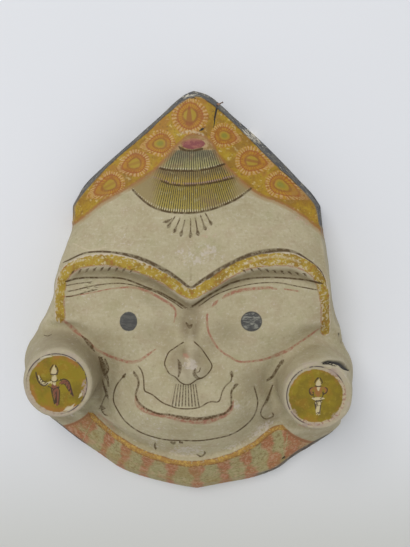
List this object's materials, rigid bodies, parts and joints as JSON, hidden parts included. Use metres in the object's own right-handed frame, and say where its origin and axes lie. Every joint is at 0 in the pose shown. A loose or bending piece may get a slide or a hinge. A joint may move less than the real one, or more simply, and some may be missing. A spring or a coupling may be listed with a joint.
{
  "type": "papier-mache mask",
  "caption": "Pointed-crown festival face mask, a hollow moulded paper shell with round ear knobs, painted eyes, raised brow, wide smile and banded chin.",
  "frame": {"origin": "on the flat back edge, in the middle of the mask's height and width", "axes": "+Z out of the face, +Y up the face towards the crown's point, +X towards the mask's left cheek, on the right as one looks at it"},
  "size_m": [0.3202, 0.4, 0.108],
  "materials": {
    "painted_paper": "matt distemper paint on papier-mache, worn"
  },
  "bodies": {
    "root": {"mask_shell": "painted_paper"}
  },
  "joints": []
}
